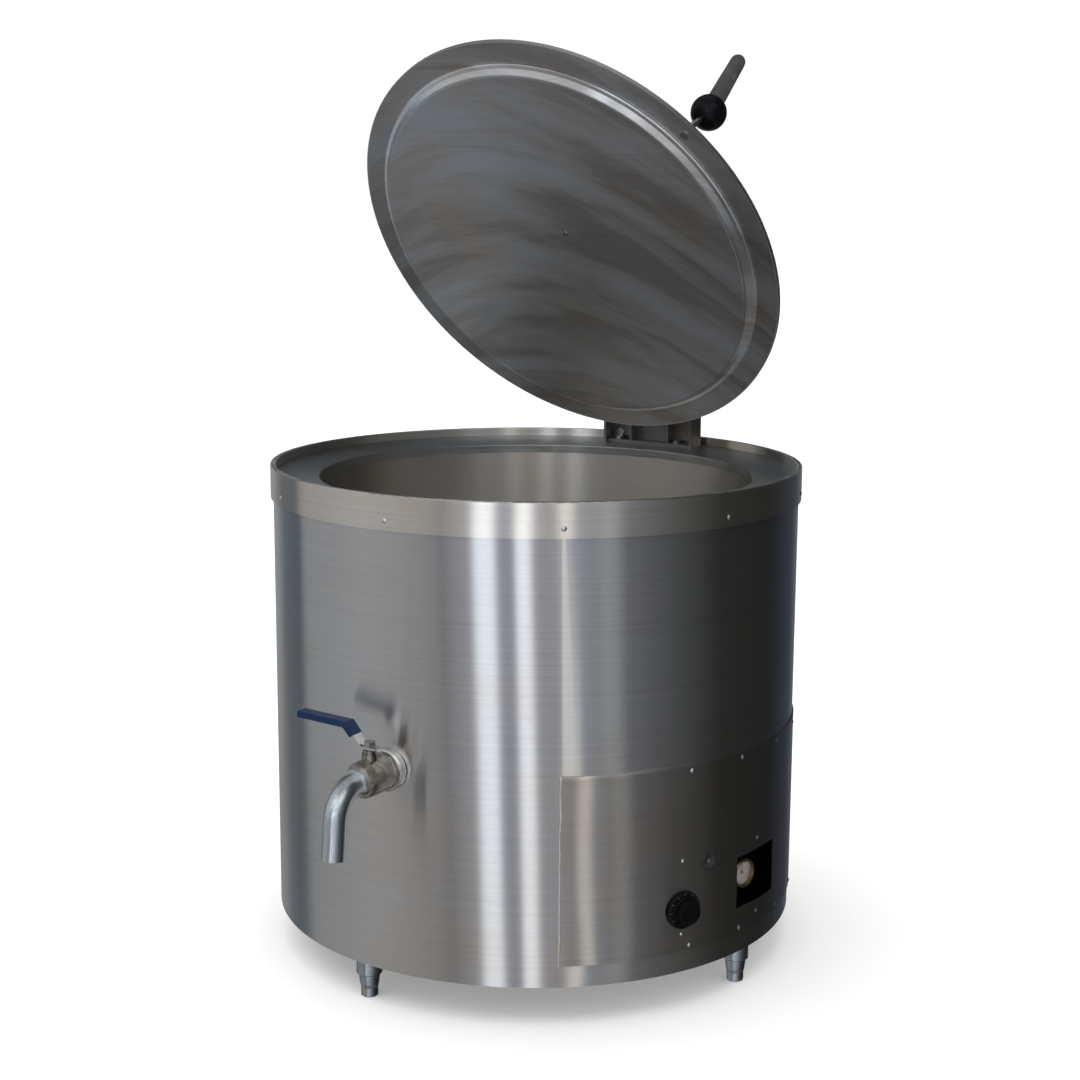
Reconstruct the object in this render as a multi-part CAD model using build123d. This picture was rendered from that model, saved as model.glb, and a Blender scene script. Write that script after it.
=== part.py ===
from build123d import *
import os
from math import sin, cos, radians, sqrt

# Steam jacketed kettle, millimetres, +Z up.
# Origin: centre of the circle of feet, on the floor.  The lid hinge is at +Y, the
# draw-off valve close to -Y, and the control panel is centred on +X.
# "az" is an azimuth in degrees, 0 at -Y, 90 at +X, 180 at +Y.
# Heights below are drawn from a datum FLOOR beneath the floor line, and every part is
# let down by FLOOR when it is written, so that the feet stand at zero.

os.makedirs("parts", exist_ok=True)

# ---- driving dimensions ---------------------------------------------------
FLOOR = 13.0            # drawn height of the floor line
BODY_R = 425.0          # outside radius of the outer shell
SHEET = 1.5             # shell sheet
RIM_R = 429.5           # outside radius of the rim band
RIM_Z = 800.0           # top of the rim
BAND_H = 52.5           # height of the rim band
BODY_Z0 = 72.0          # underside of the body
MOUTH_R = 351.0         # inside radius of the vessel
DECK_IN_Z = 778.0       # deck height at the mouth
DECK_OUT_Z = 786.0      # deck height at the rim
VESSEL_T = 2.0          # vessel wall
DISH_Z = 438.0          # lowest point of the vessel, inside
KNUCKLE_Z = 486.0       # where the dished end meets the wall
JACKET_R = 385.0        # outside radius of the steam jacket
SUMP_R = 300.0          # outside radius of the steam generator sump
SUMP_Z0 = 110.0         # underside of the sump
JACKET_TOP = 690.0
# lid, drawn closed and then swung open about the hinge pin
LID_R = 376.5
LID_Z = 782.4           # underside of the lid flange when closed
LID_PLUG_R = 339.0      # plug radius at the flange
LID_PANEL_R = 325.5     # flat panel radius
LID_PLUG_H = 15.0
LID_H = 28.0            # flange underside to the flat top
PIN_Y = 377.0
PIN_Z = 887.0
PIN_D = 12.0
LID_OPEN = 55.8         # degrees from closed, as it stands at rest
# draw-off valve
VALVE_AZ = 4.1
VALVE_Z = 390.0
PIPE_OD = 42.4
PIPE_ID = 37.0
STEM_R = 472.0          # radius of the stem axis
SPOUT_OD = 35.0
SPOUT_ID = 31.0
# controls
PANEL_A0, PANEL_A1 = 39.3, 140.7
PANEL_Z0, PANEL_Z1 = 105.5, 396.5
PANEL_R0, PANEL_R1 = 425.3, 427.3
KNOB_AZ, KNOB_Z = 66.1, 172.0
LAMP_AZ, LAMP_Z = 72.4, 239.4
WIN_A0, WIN_A1, WIN_Z0, WIN_Z1 = 81.4, 96.4, 144.5, 228.0
GAUGE_AZ, GAUGE_Z = 90.5, 180.0
GAUGE_TURN = 14.0       # the gauge is turned on its fitting, towards the knob
# feet
FOOT_R = 404.5
FOOT_AZ = (-3.9, 86.1, 176.1, 266.1)
LEG_D = 40.0
FOOT_H = FLOOR + 38.0   # underside of the leg tubes

OUT = {}


def keep(name, shape):
    OUT[name] = shape


def radial(az, r, z):
    """Plane at azimuth az and radius r, local z outward, local y up."""
    a = radians(az)
    return Plane(origin=(r * sin(a), -r * cos(a), z), x_dir=(cos(a), sin(a), 0),
                 z_dir=(sin(a), -cos(a), 0))


def cyl_out(az, r0, r1, z, d, t=0.0):
    """Radial cylinder from r0 to r1; t shifts it sideways along the tangent."""
    p = radial(az, r0, z)
    o = p.origin + p.x_dir * t
    return Solid.make_cylinder(d / 2, r1 - r0, Plane(origin=o, x_dir=p.x_dir, z_dir=p.z_dir))


def box_out(az, r0, r1, z0, z1, w, t=0.0):
    """Box with a flat face across azimuth az, r0..r1 deep and w wide."""
    p = radial(az, (r0 + r1) / 2, (z0 + z1) / 2)
    return (p * Pos(t, 0, 0)) * Box(w, z1 - z0, r1 - r0)


def hex_out(az, r0, r1, z, af, t=0.0):
    p = radial(az, r0, z)
    s = p * (Pos(t, 0, 0) * RegularPolygon(af / 2, 6, major_radius=False))
    return extrude(s, amount=r1 - r0, dir=p.z_dir)


def tube(r0, r1, z0, z1):
    h = z1 - z0
    return Pos(0, 0, (z0 + z1) / 2) * (Cylinder(r1, h) - Cylinder(r0, h + 2))


def rev(pts, a0=0.0, arc=360.0):
    """Revolve an (r, z) polygon about Z; a0 is the starting azimuth."""
    f = make_face(Polyline(*[(p[0], 0, p[1]) for p in pts], close=True))
    s = revolve(f, Axis.Z, arc)
    return Rot(0, 0, a0 - 90) * s if arc < 360 else s


def sector(r0, r1, z0, z1, a0, a1):
    return rev([(r0, z0), (r1, z0), (r1, z1), (r0, z1)], a0, a1 - a0)


def vcyl(x, y, z0, z1, d):
    return Pos(x, y, (z0 + z1) / 2) * Cylinder(d / 2, z1 - z0)


def at(az, r):
    a = radians(az)
    return r * sin(a), -r * cos(a)


def one(s):
    """Return the single solid of a shape."""
    return s.solids()[0] if len(s.solids()) == 1 else s


def pipe(path, od, idm=None):
    """Sweep a round section along a path of lines and arcs."""
    pl = Plane(origin=path @ 0, z_dir=path % 0)
    s = sweep(pl * Circle(od / 2), path=path)
    if idm:
        s = s - sweep(pl * Circle(idm / 2), path=path)
    return s


# ---- body shell -----------------------------------------------------------
shell = tube(BODY_R - SHEET, BODY_R, BODY_Z0, RIM_Z - 2.0)
ACC_A0, ACC_A1, ACC_Z0, ACC_Z1 = PANEL_A0 + 4, PANEL_A1 - 4, PANEL_Z0 + 15, PANEL_Z1 - 20
shell -= sector(BODY_R - 10, BODY_R + 10, ACC_Z0, ACC_Z1, ACC_A0, ACC_A1)
shell -= cyl_out(VALVE_AZ, 400, 440, VALVE_Z, PIPE_OD + 1.2)
GLAND_AZ, GLAND_Z = 200.0, 112.0
shell -= cyl_out(GLAND_AZ, 400, 440, GLAND_Z, 25.0)
RIVET_AZ = [3.9 + 36 * i for i in range(10)]
RIVET_Z = 762.0
for a in RIVET_AZ:
    shell -= cyl_out(a, 410, 440, RIVET_Z, 4.8)
PSCREW = [(67.9, 386.5), (82.4, 386.5), (97.6, 386.5), (112.4, 386.5), (127.4, 386.5),
          (68.0, 112.5), (82.6, 112.5), (98.9, 112.5), (114.0, 112.5), (129.0, 112.5)]
for a, z in PSCREW:
    shell -= cyl_out(a, 410, 440, z, 4.0)
keep("outer_shell", shell)

# rim band: outside skirt, rounded top lip and a short inside skirt
band_f = make_face(Polyline((RIM_R - 2, 0, RIM_Z - BAND_H), (RIM_R, 0, RIM_Z - BAND_H), (RIM_R, 0, RIM_Z),
                            (BODY_R - 4.0, 0, RIM_Z), (BODY_R - 4.0, 0, DECK_OUT_Z), (BODY_R - 2.0, 0, DECK_OUT_Z),
                            (BODY_R - 2.0, 0, RIM_Z - 2), (RIM_R - 2, 0, RIM_Z - 2), close=True))
band = revolve(band_f, Axis.Z)
top_edges = band.edges().filter_by(GeomType.CIRCLE).filter_by(lambda e: abs(e.center().Z - RIM_Z) < 0.01)
band = fillet(top_edges, 1.6)
for a in RIVET_AZ:
    band -= cyl_out(a, 426, 440, RIVET_Z, 4.8)
# spacer strip between shell and skirt so the band stands proud of the shell
strip = tube(BODY_R, RIM_R - 2, RIM_Z - BAND_H + 4, RIM_Z - 14)
for a in RIVET_AZ:
    strip -= cyl_out(a, 424, 430, RIVET_Z, 4.8)
keep("rim_band", band + strip)


def rivet(az, r, z, d, head_d, head_h, grip):
    p = radial(az, r, z)
    sh = cyl_out(az, r - grip, r, z, d)
    # low domed head
    R = (head_d ** 2 / 4 + head_h ** 2) / (2 * head_h)
    dome = p * (Pos(0, 0, head_h - R) * Sphere(R))
    slab = p * (Pos(0, 0, head_h / 2) * Cylinder(head_d / 2, head_h))
    return (dome & slab) + sh


keep("rim_rivets", Compound([one(rivet(a, RIM_R, RIVET_Z, 4.6, 8.0, 1.8, 8.0)) for a in RIVET_AZ]))

# ---- deck and vessel ------------------------------------------------------
slope = (DECK_OUT_Z - DECK_IN_Z) / (BODY_R - 4 - MOUTH_R)


def deck_z(r):
    return DECK_IN_Z + (r - MOUTH_R) * slope


deck_f = make_face(Polyline((MOUTH_R, 0, 764), (MOUTH_R, 0, deck_z(MOUTH_R)), (BODY_R - 2.0, 0, deck_z(BODY_R - 2) - 0.23),
                            (BODY_R - 2.0, 0, deck_z(BODY_R - 2) - 2.2), (MOUTH_R + 2, 0, deck_z(MOUTH_R + 2) - 2),
                            (MOUTH_R + 2, 0, 764), close=True))
deck = revolve(deck_f, Axis.Z)
mouth_edge = deck.edges().filter_by(GeomType.CIRCLE).filter_by(
    lambda e: abs(e.radius - MOUTH_R) < 0.01 and abs(e.center().Z - DECK_IN_Z) < 0.01)
deck = fillet(mouth_edge, 1.8)
deck -= tube(BODY_R - 4.0, BODY_R + 2, DECK_OUT_Z - 0.01, DECK_OUT_Z + 5)
keep("deck_ring", deck)

# vessel: straight wall, knuckle and dished end as one pressing
dish_c = (MOUTH_R ** 2 + (KNUCKLE_Z - DISH_Z) ** 2) / (2 * (KNUCKLE_Z - DISH_Z))   # dish radius


def dish_pts(off, n=24):
    """Inner dish line, offset outward by off, from the axis to the knuckle."""
    R = dish_c + off
    c = DISH_Z + dish_c
    pts = []
    rmax = 316.0
    for i in range(n + 1):
        r = rmax * i / n
        pts.append((r, c - sqrt(R * R - r * r)))
    return pts


inner = dish_pts(0.0)
outer = dish_pts(VESSEL_T)
# knuckle arcs are drawn with three points each
ki = [(332.0, 484.6), (344.5, 494.0), (MOUTH_R, 512.0)]
ko = [(333.0, 482.4), (346.2, 492.8), (MOUTH_R + VESSEL_T, 512.0)]
end_f = make_face(Polyline(*[(r, 0, z) for r, z in inner + ki + ko[::-1] + outer[::-1]], close=True))
dished_end = revolve(end_f, Axis.Z)
dished_end -= vcyl(0, 0, 420, 445, PIPE_ID)
# the rolled wall stands on the dished end, welded all round
keep("inner_vessel", tube(MOUTH_R, MOUTH_R + VESSEL_T, 512.0, 764.0))
keep("vessel_dished_end", dished_end)

# steam jacket: wall, shoulder, generator sump and flat end
T = 3.0
jk = rev([(MOUTH_R + VESSEL_T, JACKET_TOP), (JACKET_R, JACKET_TOP), (JACKET_R, 450), (SUMP_R, 425), (SUMP_R, SUMP_Z0),
          (0, SUMP_Z0), (0, SUMP_Z0 + 4), (SUMP_R - T, SUMP_Z0 + 4), (SUMP_R - T, 427), (JACKET_R - T, 452.2),
          (JACKET_R - T, JACKET_TOP - T), (MOUTH_R + VESSEL_T, JACKET_TOP - T)])
ELEM_AZ, ELEM_Z = 122.0, 150.0
PROBE_AZ, PROBE_Z = 101.0, 166.0
POCKET_AZ, POCKET_Z = 58.0, 150.0
jk -= cyl_out(VALVE_AZ, 280, 310, VALVE_Z, PIPE_OD)
jk -= cyl_out(GAUGE_AZ, 280, 310, GAUGE_Z, 13.5)
jk -= cyl_out(ELEM_AZ, 250, 310, ELEM_Z, 76.0)
jk -= cyl_out(PROBE_AZ, 280, 310, PROBE_Z, 16.0)
jk -= cyl_out(POCKET_AZ, 280, 310, POCKET_Z, 14.0)

# insulation round the jacket, and round the sump away from the controls
ins = tube(JACKET_R + 0.5, BODY_R - SHEET - 0.5, 452, JACKET_TOP)
ins2 = sector(SUMP_R + 0.5, SUMP_R + 40, SUMP_Z0 + 2, 420, 150, 390)
ins2 -= cyl_out(VALVE_AZ, 280, 360, VALVE_Z, PIPE_OD + 2)
keep("insulation", Compound([one(ins), one(ins2)]))

# base plate, sump supports and leg tubes
base = Pos(0, 0, BODY_Z0 + 1.5) * Cylinder(BODY_R - SHEET, 3.0)
for a in FOOT_AZ:
    x, y = at(a, FOOT_R)
    base -= vcyl(x, y, 60, 90, 17.0)
for i in range(12):
    x, y = at(30 * i + 15, 200)
    base -= vcyl(x, y, 60, 90, 22.0)
sup = []
for a in (45, 135, 225, 315):
    x, y = at(a, 250)
    sup.append(one(vcyl(x, y, BODY_Z0 + 3, SUMP_Z0, 44.0) - vcyl(x, y, BODY_Z0, SUMP_Z0 + 1, 38.0)))
for q in sup:
    base = base + q
keep("base_plate", base)
legs = []
STEM_D = 16.0
for a in FOOT_AZ:
    x, y = at(a, FOOT_R)
    leg = vcyl(x, y, FOOT_H, BODY_Z0, LEG_D)
    # bottom insert with a running thread bore for the foot stem
    leg -= vcyl(x, y, FOOT_H + 12, BODY_Z0 + 1, LEG_D - 4)
    leg -= vcyl(x, y, FOOT_H - 1, FOOT_H + 13, STEM_D + 0.1)
    legs.append(one(leg))
keep("leg_tubes", Compound(legs))
for i, a in enumerate(FOOT_AZ):
    x, y = at(a, FOOT_R)
    prof = make_face(Polyline((0, 0, FLOOR), (11.7, 0, FLOOR), (13.2, 0, FLOOR + 1.5), (13.2, 0, FLOOR + 14.0), (14.6, 0, FLOOR + 20.0),
                              (16.4, 0, FLOOR + 34.0), (16.4, 0, FOOT_H - 2.5), (14.6, 0, FOOT_H - 0.5), (STEM_D / 2, 0, FOOT_H - 0.5),
                              (STEM_D / 2, 0, FOOT_H + 50), (0, 0, FOOT_H + 50), close=True))
    keep("foot_%d" % (i + 1), Pos(x, y, 0) * revolve(prof, Axis.Z))

# ---- lid (closed position) ------------------------------------------------
zl = LID_Z
# underside pan: flange, plug wall with a rounded corner, flat panel
pan_f = make_face(Polyline((0, 0, zl - LID_PLUG_H), (LID_PANEL_R - 2, 0, zl - LID_PLUG_H), (LID_PANEL_R + 1.5, 0, zl - LID_PLUG_H + 1.0),
                           (LID_PANEL_R + 4, 0, zl - LID_PLUG_H + 4.0), (LID_PLUG_R - 5, 0, zl - 5.6), (LID_PLUG_R + 0.2, 0, zl - 4.8),
                           (LID_PLUG_R + 2.0, 0, zl - 3.2), (LID_PLUG_R + 2.0, 0, zl),
                           (LID_R - 1.5, 0, zl), (LID_R - 1.5, 0, zl + 1.5),
                           (LID_PLUG_R - 7.5, 0, zl + 1.5), (LID_PLUG_R - 7.5, 0, zl - 5.0), (LID_PANEL_R + 2.1, 0, zl - LID_PLUG_H + 4.6),
                           (LID_PANEL_R + 0.3, 0, zl - LID_PLUG_H + 2.5), (LID_PANEL_R - 2.3, 0, zl - LID_PLUG_H + 1.5),
                           (0, 0, zl - LID_PLUG_H + 1.5), close=True))
pan = revolve(pan_f, Axis.Z)
KNOB_RAD, KNOB_LAZ = 357.0, 54.2
kx, ky = at(KNOB_LAZ, KNOB_RAD)
pan -= vcyl(kx, ky, zl - 5, zl + 5, 8.0)
RIV_X, RIV_Y = 23.0, -38.0
pan -= vcyl(RIV_X, RIV_Y, zl - 25, zl - 5, 4.2)
# top skin: rolled edge, sloping shoulder, flat centre
top_f = make_face(Polyline((LID_R, 0, zl), (LID_R, 0, zl + 7.0), (LID_R - 1.2, 0, zl + 8.4), (330, 0, zl + LID_H), (0, 0, zl + LID_H),
                           (0, 0, zl + LID_H - 1.5), (329.5, 0, zl + LID_H - 1.5), (LID_R - 1.5, 0, zl + 6.8), (LID_R - 1.5, 0, zl), close=True))
skin = revolve(top_f, Axis.Z)
ktop = zl + 8.4 + (LID_R - 1.2 - KNOB_RAD) * (LID_H - 8.4) / (LID_R - 1.2 - 330)
skin -= vcyl(kx, ky, zl, zl + 30, 8.0)
fill_f = make_face(Polyline((0, 0, zl + 2.5), (352, 0, zl + 2.5), (340, 0, zl + 18), (328, 0, zl + LID_H - 3),
                            (0, 0, zl + LID_H - 3), close=True))
filling = revolve(fill_f, Axis.Z)
filling -= vcyl(kx, ky, zl - 40, zl + 40, 24)

# hinge plate with two cheeks that reach the pin
HINGE_X = -16.5         # the hinge sits a little to one side
CH_X0, CH_X1 = 74.5, 80.5
zt = zl + LID_H
plate = Pos(HINGE_X, 279, zt + 2.0) * Box(2 * CH_X1, 94, 4.0)
cheek_f = make_face(Polyline((0, 236, zt + 4), (0, 325, zt + 4), (0, 393, PIN_Z - 6), (0, 393, PIN_Z + 6), (0, 383, PIN_Z + 15),
                             (0, 366, PIN_Z + 15), (0, 352, PIN_Z + 6), (0, 300, zt + 26), (0, 250, zt + 20), close=True))
leafs = plate
for s in (1, -1):
    x0 = HINGE_X + (CH_X0 if s > 0 else -CH_X1)
    ck = extrude(Pos(x0, 0, 0) * cheek_f, amount=CH_X1 - CH_X0, dir=(1, 0, 0))
    leafs = leafs + ck
pin_hole = Pos(0, PIN_Y, PIN_Z) * Rot(0, 90, 0) * Cylinder(PIN_D / 2 + 0.05, 400)
leafs -= pin_hole
LB = [(HINGE_X + sx * 50, y) for sx in (-1, 1) for y in (252, 306)]
for x, y in LB:
    leafs -= vcyl(x, y, zt - 1, zt + 6, 6.6)
    skin -= vcyl(x, y, zt - 3, zt + 1, 6.6)
    filling -= vcyl(x, y, zt - 14, zt, 16)
lid_bolts = []
for x, y in LB:
    b = Pos(x, y, zt + 4) * extrude(RegularPolygon(5.0, 6, major_radius=False), amount=4.4)
    b = b + vcyl(x, y, zt - 7.5, zt + 4, 6.4) + vcyl(x, y, zt - 6.5, zt - 1.5, 10.0)
    lid_bolts.append(one(b))
# rivet in the middle of the plug panel
rv = vcyl(RIV_X, RIV_Y, zl - LID_PLUG_H, zl - LID_PLUG_H + 6, 4.0) + vcyl(RIV_X, RIV_Y, zl - LID_PLUG_H - 1.4, zl - LID_PLUG_H, 8.5) \
    + vcyl(RIV_X, RIV_Y, zl - LID_PLUG_H + 1.5, zl - LID_PLUG_H + 4, 7.0)
lid_bolts.append(one(rv))

# knob stud through the flange, ball knob and grip bar
BALL_D = 55.0
BALL_H = 78.0
BALL_BACK = 10.7        # the stud leans back by this much at the ball
stud = vcyl(kx, ky, zl - 2.2, zl, 13.0) + vcyl(kx, ky, zl, ktop + 9.0, 7.8)
nut_z = ktop + 3.2
stud += vcyl(kx, ky, nut_z, nut_z + 5, 13.0)
bc = Vector(kx, ky + BALL_BACK, zl + BALL_H)
bend_p = Vector(kx, ky, ktop + 8.0)
lean = (bc - bend_p).normalized()
bl = (bc - bend_p).length
lean_pl = Plane(origin=bend_p, x_dir=(1, 0, 0), z_dir=lean)
stud += Solid.make_cylinder(5.0, bl - 6.0, lean_pl) + Pos(kx, ky, ktop + 8.0) * Sphere(5.0)
ball = Pos(bc.X, bc.Y, bc.Z) * Sphere(BALL_D / 2)
neck = Solid.make_cylinder(8.5, 6.0, Plane(origin=bc - lean * (BALL_D / 2 + 2), x_dir=(1, 0, 0), z_dir=lean))
ball = ball + neck - Solid.make_cylinder(5.0, bl - 6.0, lean_pl)
GRIP_TILT = 8.0
g_dir = Vector(0, -sin(radians(GRIP_TILT)), cos(radians(GRIP_TILT)))
GRIP_L = 128.0
grip_plane = Plane(origin=bc, x_dir=(1, 0, 0), z_dir=g_dir)
grip_f = make_face(Polyline((0, 0, 12), (13.6, 0, 12), (13.6, 0, 24), (13.4, 0, 40), (11.9, 0, GRIP_L - 12), (11.0, 0, GRIP_L - 6.5),
                            (8.2, 0, GRIP_L - 2.2), (4.0, 0, GRIP_L - 0.3), (0, 0, GRIP_L), close=True))
grip = grip_plane * revolve(grip_f, Axis.Z)
ball = ball - grip

lid_closed = {
    "lid_under_pan": pan, "lid_top_skin": skin, "lid_insulation": filling, "lid_hinge_leaf": leafs,
    "lid_fasteners": Compound(lid_bolts), "lid_knob_stud": stud, "lid_ball_knob": ball, "lid_grip_bar": grip,
}
swing = Pos(0, PIN_Y, PIN_Z) * Rot(-LID_OPEN, 0, 0) * Pos(0, -PIN_Y, -PIN_Z)
for n, s in lid_closed.items():
    keep(n, swing * s)

# ---- hinge bracket on the deck --------------------------------------------
BR_X0, BR_X1 = 86.5, 91.5
below = rev([(0, 600), (0, deck_z(0)), (430, deck_z(430)), (430, 600)])
br = Pos(HINGE_X, 393, 781.5) * Box(2 * BR_X1, 26, 13)
br += Pos(HINGE_X, 404, 817) * Box(2 * BR_X1, 4, 62)
for x0 in (-58.0, 19.0):
    br += Pos(x0 + 1.75, 391.5, 816) * Box(3.5, 21, 60)
side_f = make_face(Polyline((0, 372, 776), (0, 403, 776), (0, 403, 846), (0, 394, PIN_Z + 6), (0, 386, PIN_Z + 15), (0, 368, PIN_Z + 15),
                            (0, 361, PIN_Z + 6), (0, 361, PIN_Z - 12), (0, 372, 848), close=True))
for x0 in (BR_X0, -BR_X1):
    br += extrude(Pos(HINGE_X + x0, 0, 0) * side_f, amount=BR_X1 - BR_X0, dir=(1, 0, 0))
br -= below
br -= Pos(0, PIN_Y, PIN_Z) * Rot(0, 90, 0) * Cylinder(PIN_D / 2, 400)
BSC = [(-84, 391), (35.5, 391)]
for x, y in BSC:
    br -= vcyl(x, y, 770, 800, 8.4)
    deck_hole = vcyl(x, y, 770, 800, 8.4)
    OUT["deck_ring"] = OUT["deck_ring"] - deck_hole
br -= Pos(-88, 404, 800) * Rot(90, 0, 0) * Cylinder(3.8, 20)
keep("hinge_bracket", br)
bs = []
for x, y in BSC:
    b = Pos(x, y, 788) * extrude(RegularPolygon(6.5, 6, major_radius=False), amount=5.3) + vcyl(x, y, 772, 788, 8.0)
    b += vcyl(x, y, 774.2, 779.5, 13.0)
    bs.append(one(b))
# one more screw through the back plate
br_s = Pos(-88, 402, 800) * Rot(90, 0, 0) * extrude(RegularPolygon(6.5, 6, major_radius=False), amount=5.3)
br_s += Pos(-88, 404.8, 800) * Rot(90, 0, 0) * Cylinder(3.8, 7.6)
bs.append(one(br_s))
bracket_bolts = bs
# hinge pin with a head and a nut outside the bracket
pin = Pos(HINGE_X, PIN_Y, PIN_Z) * Rot(0, 90, 0) * Cylinder(PIN_D / 2, 2 * 103.5)
pin += Pos(HINGE_X + BR_X1, PIN_Y, PIN_Z) * Rot(0, 90, 0) * extrude(RegularPolygon(9.5, 6, major_radius=False), amount=8)
pin += Pos(HINGE_X - BR_X1 - 8, PIN_Y, PIN_Z) * Rot(0, 90, 0) * extrude(RegularPolygon(9.5, 6, major_radius=False), amount=8)
keep("hinge_pin", pin)
bush = []
for x0, x1 in ((CH_X1 + 0.35, BR_X0), (-BR_X0, -CH_X1 - 0.35)):
    c = Pos(HINGE_X + (x0 + x1) / 2, PIN_Y, PIN_Z) * Rot(0, 90, 0) * (Cylinder(11, x1 - x0) - Cylinder(PIN_D / 2, 60))
    bush.append(one(c))
keep("hinge_bushes", Compound(bush))

# ---- draw-off -------------------------------------------------------------
va = radians(VALVE_AZ)
er = Vector(sin(va), -cos(va), 0)
ELB = 45.0
# elbow below the dish, then a straight run out through the shell
corner = Vector(0, 0, VALVE_Z)


def elbow(od, idm, start, a_r):
    pl = Plane(origin=(0, 0, 0), x_dir=tuple(er), z_dir=(0, 0, 1))
    ring = Circle(od / 2)
    if idm:
        ring = ring - Circle(idm / 2)
    v = extrude(Pos(0, 0, corner.Z + ELB) * ring, amount=start - corner.Z - ELB)
    # quarter torus about a horizontal tangent axis
    ax = Axis(origin=tuple(corner + er * ELB + Vector(0, 0, ELB)), direction=tuple(er.cross(Vector(0, 0, 1))))
    e = revolve(Pos(0, 0, corner.Z + ELB) * ring, ax, 90)
    if (e.center() - Vector(0, 0, corner.Z + ELB)).Z > 0:
        e = revolve(Pos(0, 0, corner.Z + ELB) * ring, ax, -90)
    h = cyl_out(VALVE_AZ, ELB, a_r, VALVE_Z, od)
    if idm:
        h = h - cyl_out(VALVE_AZ, ELB - 1, a_r + 1, VALVE_Z, idm)
    return v + e + h


VAL_IN = 440.0
out_pipe = elbow(PIPE_OD, PIPE_ID, DISH_Z - 2.2, VAL_IN)
keep("outlet_pipe", out_pipe)
collar = cyl_out(VALVE_AZ, BODY_R + 0.1, VAL_IN - 1, VALVE_Z, 64.0) - cyl_out(VALVE_AZ, 420, 450, VALVE_Z, PIPE_OD)
collar = chamfer(collar.edges().filter_by(GeomType.CIRCLE).sort_by(lambda e: (e.center() - er * 500).length)[:2].filter_by(lambda e: e.radius > 30), 2.5)
keep("outlet_collar", collar)

V0, V1 = VAL_IN, 503.0
BORE = 31.0
body = hex_out(VALVE_AZ, V0, 451.0, VALVE_Z, 50.0)
body += cyl_out(VALVE_AZ, 451.0, 489.0, VALVE_Z, 56.0)
body += hex_out(VALVE_AZ, 489.0, V1, VALVE_Z, 46.0)
sx, sy = at(VALVE_AZ, STEM_R)
body += vcyl(sx, sy, VALVE_Z + 20, VALVE_Z + 36, 24.0)
body -= cyl_out(VALVE_AZ, V0 - 1, V1 + 1, VALVE_Z, BORE)
body -= cyl_out(VALVE_AZ, STEM_R - 19.5, STEM_R + 19.5, VALVE_Z, 44.0)
body -= vcyl(sx, sy, VALVE_Z, VALVE_Z + 60, 10.1)
keep("valve_body", body)
VB_R = 20.0
ballv = (Pos(sx, sy, VALVE_Z) * Sphere(VB_R))
# shut: the bore of the ball lies across the pipe
tang = Plane(origin=(sx, sy, VALVE_Z), x_dir=tuple(er), z_dir=(cos(va), sin(va), 0))
ballv -= extrude(tang * Circle(14.0), amount=60, both=True)
ballv -= vcyl(sx, sy, VALVE_Z + 16, VALVE_Z + 30, 10.0)
keep("valve_ball", ballv)
seats = []
for r0, r1 in ((STEM_R - 19.5, STEM_R - 12.4), (STEM_R + 12.4, STEM_R + 19.5)):
    s = cyl_out(VALVE_AZ, r0, r1, VALVE_Z, 44.0) - cyl_out(VALVE_AZ, r0 - 1, r1 + 1, VALVE_Z, BORE)
    s -= Pos(sx, sy, VALVE_Z) * Sphere(VB_R + 0.3)
    seats.append(one(s))
keep("valve_seats", Compound(seats))
stem = vcyl(sx, sy, VALVE_Z + 16, VALVE_Z + 53.5, 10.0)
keep("valve_stem", stem)
gl = vcyl(sx, sy, VALVE_Z + 36, VALVE_Z + 41, 20.0) - vcyl(sx, sy, VALVE_Z, VALVE_Z + 60, 10.1)
keep("valve_gland_nut", gl)
# lever: hub over the stem, rising web, long flat, all one bent bar
LEV_W = 18.0
LT = 3.0
hz = VALVE_Z + 43.0
lev_pts_top = [(14, hz + LT), (-9, hz + LT), (-37, hz + 33.5), (-120, hz + 37.1)]
lev_pts_bot = [(-120, hz + 34.1), (-38.5, hz + 30.5), (-10.5, hz), (14, hz)]
lev_f = make_face(Polyline(*[(x, 0, z) for x, z in lev_pts_top + lev_pts_bot], close=True))
lever = extrude(lev_f, amount=LEV_W / 2, dir=(0, 1, 0), both=True)
lever = lever & (Pos(0, 0, hz + 20) * Box(300, LEV_W, 60))
lever -= Pos(0, 0, hz) * Cylinder(5.0, 20)
slv_top = [(-22, hz + 19.6), (-36.5, hz + 36.8), (-123, hz + 40.6)]
slv_bot = [(-123, hz + 30.6), (-40, hz + 27.0), (-28.5, hz + 14.6)]
slv_f = make_face(Polyline(*[(x, 0, z) for x, z in slv_top + slv_bot], close=True))
sleeve = extrude(slv_f, amount=(LEV_W + 4) / 2, dir=(0, 1, 0), both=True)
try:
    sleeve = fillet(sleeve.edges().filter_by(lambda e: e.length > 60), 2.4)
except Exception:
    pass
sleeve = sleeve - extrude(lev_f, amount=LEV_W / 2, dir=(0, 1, 0), both=True)
lnut = extrude(Pos(0, 0, hz + LT) * RegularPolygon(8.0, 6, major_radius=False), amount=7.5) - Pos(0, 0, hz) * Cylinder(5.0, 60)
lev_loc = Pos(sx, sy, 0) * Rot(0, 0, VALVE_AZ)
keep("valve_lever", lev_loc * lever)
keep("lever_sleeve", lev_loc * sleeve)
keep("lever_nut", lev_loc * lnut)

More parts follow.
